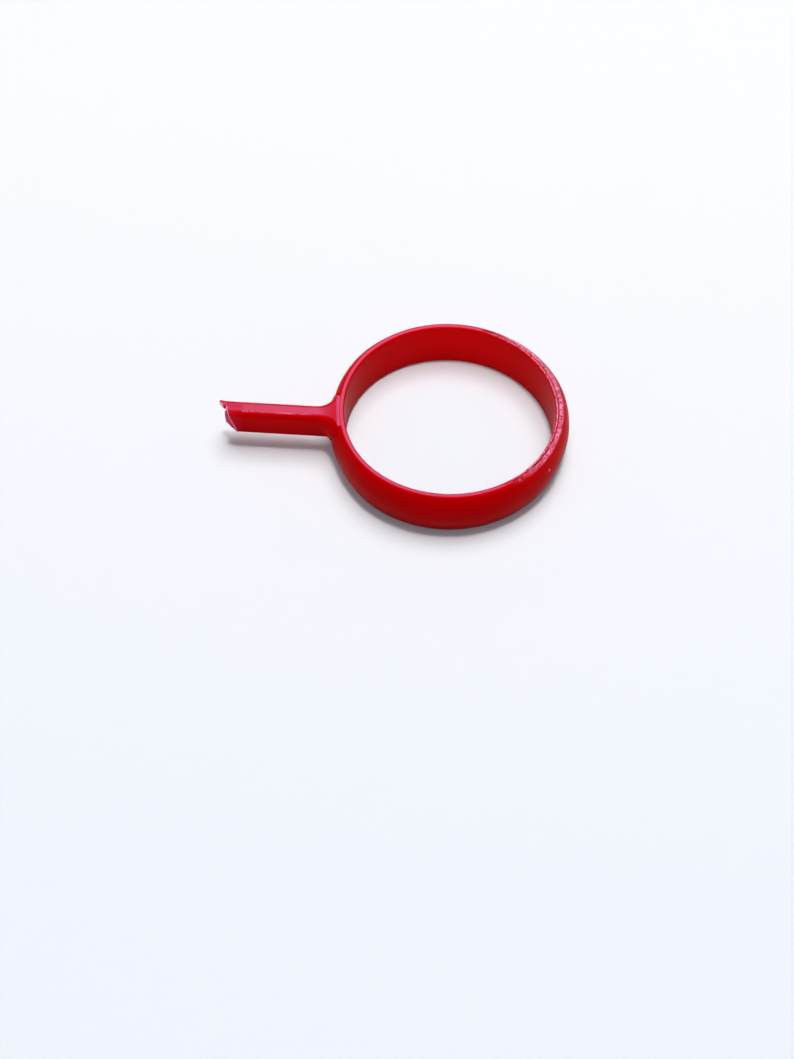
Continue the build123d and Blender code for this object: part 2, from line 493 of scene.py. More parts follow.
def finish_piece(bm: bmesh.types.BMesh, name: str, node: str, slot: Slot,
                 finishes: Finishes) -> bpy.types.Object:
    """Makes a piece from a bmesh in millimetres, and gives it its place in the frame.

    Args:
        bm: the finished bmesh, which is freed here.
        name: the piece's name.
        node: the CAD node that it stands for.
        slot: the material slot that its finish comes from.
        finishes: the materials.

    Returns:
        The piece's object.
    """
    bmesh.ops.recalc_face_normals(bm, faces=bm.faces)
    for face in bm.faces:
        face.smooth = True
    bmesh.ops.scale(bm, vec=(MM, MM, MM), verts=bm.verts)
    mesh = bpy.data.meshes.new(name)
    bm.to_mesh(mesh)
    bm.free()
    mesh.materials.append(finishes.of(slot))
    piece = bpy.data.objects.new(name, mesh)
    bpy.context.scene.collection.objects.link(piece)
    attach(piece, "root")
    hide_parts(node)
    log.info("%s: %d faces", name, len(mesh.polygons))
    return piece


def set_aside(bm: bmesh.types.BMesh, sizes: Moulding) -> None:
    """Moves what is drawn round the tail's middle to the tail's place aside of the ring's centre.

    The tail's sides are thin enough for some light to come through, and that light is painted on them here as
    well.

    Args:
        bm: the bmesh, which holds one piece of the tail.
        sizes: the moulding's sizes.
    """
    # Painted light from behind: it rises from the foot and fades under the crown.
    painted_seep_light = bm.verts.layers.float.new("painted_seep_light")
    for vert in bm.verts:
        rise = eased((vert.co.z - sizes.tail_low) / sizes.seep_rise)
        under_crown = eased((sizes.tail_high - sizes.seep_clear - vert.co.z) / sizes.seep_fade)
        vert[painted_seep_light] = sizes.painted_side_seep_light * rise * under_crown
    bmesh.ops.translate(bm, vec=(0, -sizes.tail_aside, 0), verts=bm.verts)


def extruded_loop(bm: bmesh.types.BMesh, loop: list[bmesh.types.BMEdge]) -> tuple[list, list]:
    """Extrudes a closed loop of edges in place.

    Args:
        bm: the bmesh.
        loop: the loop's edges.

    Returns:
        The new loop's vertices and edges.
    """
    made = bmesh.ops.extrude_edge_only(bm, edges=loop)["geom"]
    verts = [g for g in made if isinstance(g, bmesh.types.BMVert)]
    fresh = set(verts)
    edges = [g for g in made if isinstance(g, bmesh.types.BMEdge) and set(g.verts) <= fresh]
    return verts, edges


def closed_end(bm: bmesh.types.BMesh, loop: list[bmesh.types.BMEdge]) -> None:
    """Closes a loop with a flat face and keeps its edge sharp.

    Args:
        bm: the bmesh.
        loop: the loop's edges.
    """
    bmesh.ops.edgeloop_fill(bm, edges=loop)
    for edge in loop:
        edge.smooth = False


def rounded(bm: bmesh.types.BMesh, corners: list[bmesh.types.BMVert], offset: float, steps: int) -> None:
    """Rounds corners of a section.

    Args:
        bm: the bmesh that holds the section.
        corners: its corners.
        offset: how far from each corner the rounding starts.
        steps: how many edges each rounding has.
    """
    bmesh.ops.bevel(bm, geom=corners, offset=offset, offset_type="OFFSET", affect="VERTICES",
                    segments=steps, profile=0.5, material=-1)


def grown_block(bm: bmesh.types.BMesh, end: Callable[[float, float, float], Vector],
                shares: Iterable[float]) -> list:
    """Carries a flat grid outwards in steps and leaves it closed.

    Args:
        bm: a bmesh that holds only the grid, standing across the tail at its start.
        end: the place of a point of the grid (across, height) at a share of the way out.
        shares: the shares of the way out, the last of them 1.

    Returns:
        The faces of the outer end.
    """
    section = bm.verts.layers.float_vector.new("section")
    for vert in bm.verts:
        vert[section] = vert.co
    faces = list(bm.faces)
    rim = [edge for edge in bm.edges if edge.is_boundary]
    for edge in rim:
        edge.smooth = False
    for n, share in enumerate(shares):
        made = bmesh.ops.extrude_face_region(bm, geom=faces, use_keep_orig=(n == 0))["geom"]
        faces = [g for g in made if isinstance(g, bmesh.types.BMFace)]
        for vert in {v for face in faces for v in face.verts}:
            vert.co = end(vert[section].y, vert[section].z, share)
    return faces


# Ring


@dataclass
class RingBand:
    """The closed ring: a straight bore, a domed outer wall, and a narrow lip above and below.

    A swelling is given as its height, its centre and its reach, a shaded edge as its centre and its
    reach, and a speck as its angle, its distance from the ring's axis and its height.
    """

    sizes: Moulding
    steps: int = 640
    dome_steps: int = 40
    rounding_steps: int = 5
    bore_cuts: int = 12
    lip_cuts: int = 12
    outer_swells: tuple[Triple, ...] = ((0.15, 38.0, 36.0), (0.15, 10.0, 30.0),
                                        (-0.12, 180.0, 40.0), (-0.12, 212.0, 24.0))
    bore_swells: tuple[Triple, ...] = ((-0.1, 178.0, 75.0), (-0.12, 183.0, 45.0))
    bore_ease: float = -0.07
    inner_from: float = 0.02
    inner_fade: float = 0.15
    outer_from: float = 0.3
    outer_fade: float = 0.5
    soft_waver: Waver = Waver(0.012, 2.4)
    bore_waver_share: float = 0.4
    groove_round: Stretch = Stretch(-58.0, 76.0, 6.0, 8.0)
    groove_across: Stretch = Stretch(9.16, 9.33, 0.04, 0.05)
    groove_depth: float = 0.14
    groove_least_share: float = 0.25
    groove_clear: float = 0.02
    dash_level: float = 0.75
    dash_waver: Waver = Waver(2.2, 0.55, (0.0, 3.1, 7.7))
    scuff_round: Stretch = Stretch(-56.0, 74.0, 30.0, 22.0)
    scuff_depth: float = 0.3
    scuff_fade: float = 0.2
    scuff_edge: float = 0.06
    scuffed_lip: float = 1.15
    scuff_level: float = 0.7
    scuff_waver: Waver = Waver(0.5, 0.5)
    # A painted glare: a pale patch low on the inner wall, in place of a reflection.
    glare: float = 0.12
    glare_centre: float = 12.0
    glare_reach: float = 24.0
    glare_overlap: float = 0.05
    glare_edge: float = 0.1
    glare_top: float = 0.6
    glare_fade: float = 1.2
    shade_depth: float = 0.3
    lip_shade: float = 0.7
    groove_shade: float = 0.75
    far_shade: tuple[float, float] = (50.0, 90.0)
    far_overlap: float = 0.02
    far_fade: float = 0.05
    near_shade: tuple[float, float] = (-105.0, 70.0)
    near_overlap: float = 0.12
    near_fade: float = 0.06
    # Painted light from behind on the far inner wall: where round the ring, how strong, rising upwards.
    seep_centre: float = 85.0
    seep_reach: float = 115.0
    seep_level: float = 0.75
    seep_slope: float = 0.12
    specks: tuple[Triple, ...] = (
        (63.0, 9.13, 2.2), (58.5, 9.1, 2.2), (30.9, 9.19, 2.2), (27.1, 9.31, 2.2), (-40.6, 9.17, 2.2),
        (-45.0, 9.19, 2.2), (-49.2, 9.45, 2.2), (-30.5, 10.0, 1.0), (168.3, 8.9, 0.3), (152.6, 8.92, 0.0),
        (36.0, 9.25, 2.2), (17.0, 9.33, 2.2), (-14.0, 9.38, 2.2))
    speck_reach: float = 0.09
    speck_core: float = 1.6
    speck_level: float = 1.1
    speck_turn: float = 2.0

    def profile(self, bm: bmesh.types.BMesh) -> None:
        """Draws the ring's section: four corners and the dome's curve, with the corners rounded.

        Args:
            bm: an empty bmesh.
        """
        s = self.sizes
        low, wall_low, wall_top, high = (bm.verts.new(p) for p in (
            (s.lip_radius, 0, -s.top), (s.bore_radius, 0, -s.top),
            (s.bore_radius, 0, s.top), (s.lip_radius, 0, s.top)))
        half_angle = asin(s.top / s.dome_radius)
        clear = half_angle - s.lip_rounding / s.dome_radius
        crest = bm.verts.new((s.dome_centre + s.dome_radius * cos(clear), 0, s.dome_radius * sin(clear)))
        arc = bmesh.ops.spin(bm, geom=[crest], cent=(s.dome_centre, 0, 0), axis=(0, 1, 0), dvec=(0, 0, 0),
                             angle=2 * clear, steps=self.dome_steps, use_merge=False, use_duplicate=False,
                             use_normal_flip=False)["geom_last"]
        foot = next(g for g in arc if isinstance(g, bmesh.types.BMVert))
        for pair in ((low, wall_low), (wall_low, wall_top), (wall_top, high), (high, crest), (foot, low)):
            bm.edges.new(pair)
        lip_offset = s.lip_rounding * tan((pi / 2 - half_angle) / 2)
        for vert, offset in ((wall_top, s.bore_top_rounding), (wall_low, s.bore_low_rounding),
                             (high, lip_offset), (low, lip_offset)):
            rounded(bm, [vert], offset, self.rounding_steps)
        bore = [e for e in bm.edges if all(abs(v.co.x - s.bore_radius) < CLOSE for v in e.verts)]
        lips = [e for e in bm.edges if all(abs(abs(v.co.z) - s.top) < CLOSE for v in e.verts)]
        bmesh.ops.subdivide_edges(bm, edges=bore, cuts=self.bore_cuts)
        bmesh.ops.subdivide_edges(bm, edges=lips, cuts=self.lip_cuts)

    def groove(self, angle: float, radius: float) -> float:
        """Depth of the broken groove behind the flash.

        Args:
            angle: the place round the ring, in degrees.
            radius: the distance from the ring's axis.

        Returns:
            The depth there, 0 outside the groove.
        """
        span, across = self.groove_round.at(angle), self.groove_across.at(radius)
        if span * across <= 0:
            return 0.0
        along = radians(angle) * self.sizes.bore_radius
        dash = eased(self.dash_level + self.dash_waver.at((along, 0, 0)))
        return self.groove_depth * span * across * mixed(self.groove_least_share, 1.0, dash)

    def scuff_and_sheen(self, place: Vector, radius: float, angle: float) -> float:
        """How far the surface is whitened: the lip beside the flash and stray specks; with a painted glare,
        a pale patch low on the inner wall.

        Args:
            place: the place on the ring.
            radius: its distance from the ring's axis.
            angle: its angle round the ring, in degrees.

        Returns:
            0 where nothing is laid on, 1 or more where it is pale pink wherever the grain is high.
        """
        s = self.sizes
        lip = eased((place.z - s.top + self.scuff_depth) / self.scuff_fade)
        lip *= eased((radius - self.groove_across.last + self.scuff_edge) / self.scuff_edge)
        level = self.scuff_level + self.scuff_waver.at(place)
        wear_and_sheen = self.scuffed_lip * self.scuff_round.at(angle) * lip * level
        # Painted glare: a pale patch low on the inner wall, standing in for a reflection.
        low_wall = eased((s.bore_radius + self.glare_overlap - radius) / self.glare_edge)
        low_wall *= eased((self.glare_top - place.z) / self.glare_fade)
        wear_and_sheen = max(wear_and_sheen, self.glare * low_wall * swell(angle, self.glare_centre, self.glare_reach))
        for turn, out, high in self.specks:
            if abs(angle - turn) < self.speck_turn:
                speck = Vector((out * cos(radians(turn)), out * sin(radians(turn)), high))
                near = self.speck_core - (place - speck).length / self.speck_reach
                wear_and_sheen = max(wear_and_sheen, self.speck_level * eased(near))
        return wear_and_sheen

    def shade(self, place: Vector, radius: float, angle: float) -> float:
        """How far the surface is in the dark: in the groove, and at the lip's far and inner edges.

        Args:
            place: the place on the ring.
            radius: its distance from the ring's axis.
            angle: its angle round the ring, in degrees.

        Returns:
            0 in the light, 1 in full shade.
        """
        s = self.sizes
        if place.z < s.top - self.shade_depth:
            return 0.0
        far = eased((radius - s.lip_radius + self.far_overlap) / self.far_fade)
        far *= swell(angle, *self.far_shade)
        near = eased((s.bore_radius + self.near_overlap - radius) / self.near_fade)
        near *= swell(angle, *self.near_shade)
        groove = min(self.groove(angle, radius) / self.groove_depth, 1)
        return max(self.lip_shade * far, self.lip_shade * near, self.groove_shade * groove)

    def shape(self, bm: bmesh.types.BMesh) -> None:
        """Gives the turned ring its small departures from round: swellings, the groove, a soft waver.

        Args:
            bm: the bmesh that holds the ring.
        """
        s = self.sizes
        wear_and_sheen, painted_seep_light, dark = (bm.verts.layers.float.new(name) for name in ("scuff_and_sheen", "painted_seep_light", "shade"))
        for vert in bm.verts:
            radius, angle = hypot(vert.co.x, vert.co.y), degrees(atan2(vert.co.y, vert.co.x))
            outward = Vector((vert.co.x, vert.co.y, 0)) / radius
            vert[wear_and_sheen], vert[dark] = self.scuff_and_sheen(vert.co, radius, angle), self.shade(vert.co, radius, angle)
            inner = 1 - eased((radius - s.bore_radius - self.inner_from) / self.inner_fade)
            # Painted light from behind on the far inner wall, a little brighter towards the top.
            through = self.seep_level + self.seep_slope * vert.co.z
            vert[painted_seep_light] = inner * swell(angle, self.seep_centre, self.seep_reach) * through
            outer = eased((radius - s.bore_radius - self.outer_from) / self.outer_fade)
            move = outer * swelling(angle, self.outer_swells)
            move += (1 - outer) * (self.bore_ease + swelling(angle, self.bore_swells))
            move += self.soft_waver.at(vert.co) * mixed(self.bore_waver_share, 1.0, outer)
            if vert.co.z > s.top - self.groove_clear:
                vert.co.z -= self.groove(angle, radius)
            vert.co += outward * move

    def build(self, finishes: Finishes) -> bpy.types.Object:
        """Turns the section round the axis and shapes it.

        Args:
            finishes: the materials.

        Returns:
            The piece's object.
        """
        bm = bmesh.new()
        self.profile(bm)
        bmesh.ops.spin(bm, geom=bm.verts[:] + bm.edges[:], cent=(0, 0, 0), axis=(0, 0, 1), dvec=(0, 0, 0),
                       angle=2 * pi, steps=self.steps, use_merge=True, use_duplicate=False,
                       use_normal_flip=False)
        self.shape(bm)
        return finish_piece(bm, "ring_band_moulded", "ring_band", Slot.MOULDED, finishes)


# Tail


@dataclass
class Tail:
    """The tail as far as the tear: a flare that grows out of the domed wall, and the plain bar."""

    sizes: Moulding
    near_fillet: float = 1.7
    far_fillet: float = 1.45
    low_side_fillet: float = 0.45
    crown_lift: float = 0.14
    foot_fillet: float = 0.3
    flare_steps: int = 18
    bite: float = 0.36
    broad_from: float = 0.75
    level_rise: float = 1.4
    bar_pitch: float = 0.3
    # A painted highlight along the crown's near shoulder.
    highlight_across: float = -0.4
    highlight_reach: float = 0.12
    highlight_depth: float = 0.1
    highlight_level: float = 0.3
    highlight_waver: Waver = Waver(0.4, 0.6)
    mesh_pitch: float = 0.06
    foot_steps: int = 6
    crown_steps: int = 20

    def section(self, bm: bmesh.types.BMesh, place: float) -> list[bmesh.types.BMEdge]:
        """Draws the bar's section across the tail.

        Args:
            bm: an empty bmesh.
            place: how far along the tail the section stands, from the ring's axis.

        Returns:
            The section's loop of edges.
        """
        s = self.sizes
        corners = [bm.verts.new((-place, y, z)) for y, z in (
            (-s.half_width, s.tail_low), (s.half_width, s.tail_low),
            (s.half_width, s.tail_high), (-s.half_width, s.tail_high))]
        for pair in zip(corners, corners[1:] + corners[:1]):
            bm.edges.new(pair)
        rounded(bm, corners[:2], s.foot_rounding, self.foot_steps)
        rounded(bm, corners[2:], s.crown_rounding, self.crown_steps)
        for edge in [e for e in bm.edges if e.calc_length() > 2 * self.mesh_pitch]:
            bmesh.ops.subdivide_edges(bm, edges=[edge], cuts=int(edge.calc_length() / self.mesh_pitch))
        return list(bm.edges)

    def facing(self, y: float, z: float) -> Vector:
        """The way the bar's surface faces.

        Args:
            y: a point's place across the bar.
            z: its height.

        Returns:
            A direction across the tail.
        """
        s = self.sizes
        rounding = s.crown_rounding if z > s.tail_high - s.crown_rounding else s.foot_rounding
        inner = Vector((0, max(min(y, s.half_width - rounding), rounding - s.half_width),
                        max(min(z, s.tail_high - rounding), s.tail_low + rounding)))
        away = Vector((0, y, z)) - inner
        return away.normalized() if away.length > TINY else Vector((0, 0, 1))

    def fillet(self, z: float, facing: Vector) -> float:
        """Radius of the flare's fillet: broad above, tight at the foot.

        Args:
            z: the height on the section.
            facing: the way the bar's surface faces there.

        Returns:
            The radius.
        """
        s = self.sizes
        broad = self.near_fillet if facing.y < 0 else self.far_fillet
        side = mixed(self.low_side_fillet, broad, eased((z - s.tail_low) / (s.tail_height * self.broad_from)))
        return side * facing.y ** 2 + self.foot_fillet * facing.z ** 2

    def swept(self, y: float, z: float, share: float) -> Vector:
        """The place on the flare of a point of a side or a shoulder, which sweeps out level to the wall.

        Args:
            y: the point's place across the bar.
            z: its height.
            share: 0 on the bar, 1 on the wall, more than 1 under the wall's surface.

        Returns:
            The place.
        """
        s = self.sizes
        side = -1.0 if y < 0 else 1.0
        radius = self.fillet(z, Vector((0, side, 0)))
        high = z + self.crown_lift * max(self.facing(y, z).z, 0) ** 2
        across = y - s.tail_aside + side * radius
        reach = s.dome_centre + sqrt(s.dome_radius ** 2 - high ** 2) + radius
        centre = Vector((-sqrt(reach ** 2 - across ** 2), across, 0))
        last = -centre.normalized()
        place = centre + Vector((0, -side, 0)).slerp(last, min(share, 1.0)) * radius
        if share > 1:
            place += last * self.bite
        return Vector((place.x, place.y + s.tail_aside, mixed(z, high, eased(share))))

    def on_flare(self, y: float, z: float, share: float) -> Vector:
        """The place on the flare of a point of the section.

        The sides and the crown sweep out level to the wall, as in a mould. At the foot the fillet
        is the track of a ball that rolls round the tail and touches the domed wall.

        Args:
            y: the point's place across the bar.
            z: its height.
            share: 0 on the bar, 1 on the wall, more than 1 under the wall's surface.

        Returns:
            The place.
        """
        s = self.sizes
        facing = self.facing(y, z)
        flat = s.half_width - s.crown_rounding
        if facing.z > 0 and abs(y) < flat:
            return self.swept(-flat, z, share).lerp(self.swept(flat, z, share), (y + flat) / (2 * flat))
        level = eased((z - s.tail_low - s.foot_rounding) / self.level_rise)
        if level >= 1:
            return self.swept(y, z, share)
        radius = self.fillet(z, facing)
        across, height = y - s.tail_aside + radius * facing.y, z + radius * facing.z
        out = s.dome_centre + sqrt((s.dome_radius + radius) ** 2 - height ** 2)
        start = sqrt(out ** 2 - across ** 2)
        centre = Vector((-start, across, height))
        hub = Vector((-start, across, 0)).normalized() * s.dome_centre
        first, last = -facing, (hub - centre).normalized()
        centre.y += s.tail_aside
        sunk = self.bite if share > 1 else 0.0
        rolled = centre + first.slerp(last, min(share, 1.0)) * radius + last * sunk
        return rolled.lerp(self.swept(y, z, share), level)

    def build_root(self, finishes: Finishes) -> bpy.types.Object:
        """Builds the flare, closed under the ring's wall and where the bar takes over.

        Args:
            finishes: the materials.

        Returns:
            The piece's object.
        """
        bm = bmesh.new()
        layer = bm.verts.layers.float_vector.new("section")
        loop = self.section(bm, self.sizes.root_end)
        for vert in bm.verts:
            vert[layer] = vert.co
        closed_end(bm, loop)
        for n in range(self.flare_steps + 2):
            verts, loop = extruded_loop(bm, loop)
            for vert in verts:
                vert.co = self.on_flare(vert[layer].y, vert[layer].z, n / self.flare_steps)
        closed_end(bm, loop)
        set_aside(bm, self.sizes)
        return finish_piece(bm, "tail_root_moulded", "tail_root", Slot.MOULDED, finishes)

    def build_bar(self, finishes: Finishes) -> bpy.types.Object:
        """Builds the plain bar between the root and the tear.

        Args:
            finishes: the materials.

        Returns:
            The piece's object.
        """
        s = self.sizes
        bm = bmesh.new()
        loop = self.section(bm, s.root_end)
        closed_end(bm, loop)
        run = s.tear_start - s.root_end
        steps = round(run / self.bar_pitch)
        for _ in range(steps):
            verts, loop = extruded_loop(bm, loop)
            bmesh.ops.translate(bm, vec=(-run / steps, 0, 0), verts=verts)
        closed_end(bm, loop)
        # Painted highlight: a speckled pale streak along the crown's near shoulder, in the whitening's pink.
        wear_and_sheen = bm.verts.layers.float.new("scuff_and_sheen")
        for vert in bm.verts:
            shoulder = eased(1 - abs(vert.co.y - self.highlight_across) / self.highlight_reach)
            on_crown = vert.co.z > s.tail_high - self.highlight_depth
            level = self.highlight_level + self.highlight_waver.at(vert.co)
            vert[wear_and_sheen] = shoulder * level if on_crown else 0.0
        set_aside(bm, s)
        return finish_piece(bm, "tail_bar_moulded", "tail_bar", Slot.MOULDED, finishes)


# Torn end


@dataclass
class TornEnd:
    """The snapped end of the tail: a slanted core, a thin stretched skin, and a spur over a notch."""

    sizes: Moulding
    skin_thickness: float = 0.2
    skin_grid: tuple[int, int] = (110, 5)
    skin_turn: float = 13.5
    skin_lean: float = 14.3
    skin_ragged: Waver = Waver(0.03, 0.22)
    skin_frayed: Waver = Waver(0.015, 0.09, (4.0, 0.0, 0.0))
    skin_whites: tuple[tuple[float, float], ...] = ((0.1, 0.5), (1.1, 0.05))
    skin_edge_white: float = 1.2
    near_corner: float = 17.75
    core_lean: float = 0.0524
    core_end: float = 18.85
    core_grid: tuple[int, int] = (48, 48)
    core_least: float = 0.004
    core_broken: Waver = Waver(0.035, 0.3, (9.0, 0.0, 0.0))
    core_fibres: Waver = Waver(0.015, 0.1, (2.0, 0.0, 0.0))
    core_white: float = 0.45
    core_white_waver: Waver = Waver(0.25, 0.3)
    notch_start: float = 18.45
    notch_depth: float = 0.26
    notch_across: float = 1.428
    notch_fall: float = 0.9325
    spur_end: float = 19.2
    spur_slant: float = 41.0
    spur_tip_across: float = 0.46
    spur_start_across: float = 0.04
    spur_depth: float = 0.45
    spur_tip_depth: float = 0.4
    spur_lift: float = 0.12
    spur_round_from: float = 0.6
    spur_round_run: float = 0.2
    spur_rounding: float = 0.14
    spur_inset: float = 0.022
    spur_grid: tuple[int, int] = (28, 12)
    spur_steps: int = 24
    spur_ragged: Waver = Waver(0.05, 0.12, (1.0, 0.0, 0.0))
    spur_white: float = 0.16
    spur_white_run: float = 0.6
    spur_inner_white: float = 0.5
    spur_inner_across: float = 0.3
    spur_inner_run: float = 0.5
    spur_edge_white: float = 1.0
    shares: tuple[float, ...] = (0.25, 0.45, 0.6, 0.7, 0.78, 0.84, 0.88, 0.92, 0.95, 0.975, 1.0)

    def skin_reach(self, y: float, z: float) -> float:
        """How far out the skin's torn edge is.

        Args:
            y: the place across the tail.
            z: the height.

        Returns:
            The distance from the ring's axis, along the tail.
        """
        s = self.sizes
        across, up = tan(radians(self.skin_turn)), tan(radians(self.skin_lean))
        slant = across * (y + s.half_width) + up * (z - s.tail_low)
        ragged = self.skin_ragged.at((0, y, z)) + self.skin_frayed.at((0, y, z))
        return self.near_corner + slant + ragged

    def core_reach(self, y: float, z: float) -> float:
        """How far out the core's broken face is.

        Args:
            y: the place across the tail.
            z: the height.

        Returns:
            The distance from the ring's axis, along the tail.
        """
        s = self.sizes
        slant = self.near_corner + (y + s.half_width) - self.core_lean * (z - s.tail_low)
        crest = s.tail_high - self.notch_depth
        notch = self.notch_start + (crest - self.notch_across * y - z) / self.notch_fall
        rough = self.core_broken.at((0, y, z)) + self.core_fibres.at((0, y, z))
        return min(slant, self.core_end, max(self.notch_start, notch)) + rough

    def crown_at(self, y: float, rounding: float, inset: float) -> float:
        """Height of the crown's curve, or of a curve inset from it.

        Args:
            y: the place across the tail.
            rounding: the radius of the crown's rounded edges.
            inset: how far under the crown the curve runs at those edges.

        Returns:
            The height there.
        """
        s = self.sizes
        past = abs(y) - (s.half_width - rounding)
        radius = rounding - inset
        return s.tail_high - rounding + sqrt(max(radius ** 2 - max(past, 0) ** 2, 0.0))

    def build_skin(self, finishes: Finishes) -> bpy.types.Object:
        """Builds the stretched skin of the near side and the crown, with its whitened edge.

        Args:
            finishes: the materials.

        Returns:
            The piece's object.
        """
        s = self.sizes
        bm = bmesh.new()
        along, through = self.skin_grid
        bmesh.ops.create_grid(bm, x_segments=along, y_segments=through, size=0.5)
        straight = s.tail_height - s.foot_rounding - s.crown_rounding
        curve = s.crown_rounding * pi / 2
        flat = self.spur_start_across + s.half_width - s.crown_rounding
        for vert in bm.verts:
            run = (vert.co.x + 0.5) * (straight + curve + flat)
            depth = (vert.co.y + 0.5) * self.skin_thickness
            if run < straight:
                y, z = -s.half_width + depth, s.tail_low + s.foot_rounding + run
            elif run < straight + curve:
                turn = (run - straight) / s.crown_rounding
                y = -s.half_width + s.crown_rounding - (s.crown_rounding - depth) * cos(turn)
                z = s.tail_high - s.crown_rounding + (s.crown_rounding - depth) * sin(turn)
            else:
                y, z = -s.half_width + s.crown_rounding + run - straight - curve, s.tail_high - depth
            vert.co = (-s.tear_start, y, z)

        def place(y: float, z: float, share: float) -> Vector:
            """The skin is carried straight out to its torn edge."""
            return Vector((-mixed(s.tear_start, self.skin_reach(y, z), share), y, z))

        ends = grown_block(bm, place, self.shares)
        white = bm.verts.layers.float.new("whitening")
        for vert in bm.verts:
            back = self.skin_reach(vert.co.y, vert.co.z) + vert.co.x
            vert[white] = sum(level * exp(-back / fade) for level, fade in self.skin_whites)
        for vert in {v for face in ends for v in face.verts}:
            vert[white] = self.skin_edge_white
        set_aside(bm, s)
        return finish_piece(bm, "torn_skin_stretched", "torn_skin", Slot.TORN, finishes)

    def build_core(self, finishes: Finishes) -> bpy.types.Object:
        """Builds the broken core, with its slanted face and the notch under the spur.

        Args:
            finishes: the materials.

        Returns:
            The piece's object.
        """
        s = self.sizes
        bm = bmesh.new()
        across, up = self.core_grid
        bmesh.ops.create_grid(bm, x_segments=across, y_segments=up, size=0.5)
        inner = s.half_width - self.skin_thickness
        for vert in bm.verts:
            y, share = mixed(-s.half_width, s.half_width, vert.co.x + 0.5), vert.co.y + 0.5
            past = max(abs(y) - (s.half_width - s.foot_rounding), 0)
            low = s.tail_low + s.foot_rounding - sqrt(max(s.foot_rounding ** 2 - past ** 2, 0))
            if y < -inner - TINY:
                high = max(s.tail_low + s.foot_rounding, low + self.core_least)
            elif y < self.spur_start_across:
                high = self.crown_at(y, s.crown_rounding, self.skin_thickness)
            else:
                high = min(s.tail_high - self.spur_depth, self.crown_at(y, s.crown_rounding, 0))
            vert.co = (-s.tear_start, y, mixed(low, high, share))

        def place(y: float, z: float, share: float) -> Vector:
            """The core is carried straight out to its broken face."""
            return Vector((-mixed(s.tear_start, self.core_reach(y, z), share), y, z))

        ends = grown_block(bm, place, self.shares)
        white = bm.verts.layers.float.new("whitening")
        for vert in {v for face in ends for v in face.verts}:
            vert[white] = self.core_white + self.core_white_waver.at(vert.co)
        set_aside(bm, s)
        return finish_piece(bm, "torn_core_broken", "torn_core", Slot.TORN, finishes)

    def build_spur(self, finishes: Finishes) -> bpy.types.Object:
        """Builds the spur of the far top corner, which thins and turns up to a blunt tip.

        Args:
            finishes: the materials.

        Returns:
            The piece's object.
        """
        s = self.sizes
        bm = bmesh.new()
        across, up = self.spur_grid
        bmesh.ops.create_grid(bm, x_segments=across, y_segments=up, size=0.5)
        low = s.tail_high - self.spur_depth
        for vert in bm.verts:
            y = mixed(self.spur_start_across, s.half_width - self.spur_inset, vert.co.x + 0.5)
            vert.co = (-s.tear_start, y, mixed(low, self.crown_at(y, s.crown_rounding, 0), vert.co.y + 0.5))

        def place(y: float, z: float, share: float) -> Vector:
            """The spur is whole as far as the notch, and thins and lifts beyond it.

            Args:
                y: the place across the tail.
                z: the height.
                share: 0 at the start of the tear, 1 at the spur's end.

            Returns:
                The place that the point is carried to.
            """
            slanted = self.spur_end + tan(radians(self.spur_slant)) * (y - self.spur_tip_across)
            past = max(0, (y - self.spur_round_from) / self.spur_round_run)
            reach = min(self.spur_end, slanted) - self.spur_rounding * past ** 2
            reach += self.spur_ragged.at((0, y, z))
            out = mixed(s.tear_start, reach, share)
            blade = max(0.0, (out - self.notch_start) / (self.spur_end - self.notch_start))
            depth = mixed(1.0, self.spur_tip_depth / self.spur_depth, min(blade, 1.0))
            return Vector((-out, y, s.tail_high + (z - s.tail_high) * depth + self.spur_lift * blade ** 2))

        ends = grown_block(bm, place, [(n + 1) / self.spur_steps for n in range(self.spur_steps)])
        white = bm.verts.layers.float.new("whitening")
        for vert in bm.verts:
            blade = eased((-vert.co.x - self.notch_start) / self.spur_white_run)
            edge = (vert.co.y - self.spur_start_across) / self.spur_inner_across
            edge += (self.spur_end + vert.co.x) / self.spur_inner_run
            vert[white] = self.spur_white * blade + self.spur_inner_white * eased(1 - max(edge, 0))
        for vert in {v for face in ends for v in face.verts}:
            vert[white] = self.spur_edge_white
        set_aside(bm, s)
        return finish_piece(bm, "torn_spur_stretched", "torn_spur", Slot.TORN, finishes)

    def build(self, finishes: Finishes) -> None:
        """Builds the three torn pieces.

        Args:
            finishes: the materials.
        """
        self.build_core(finishes)
        self.build_skin(finishes)
        self.build_spur(finishes)


# Flash


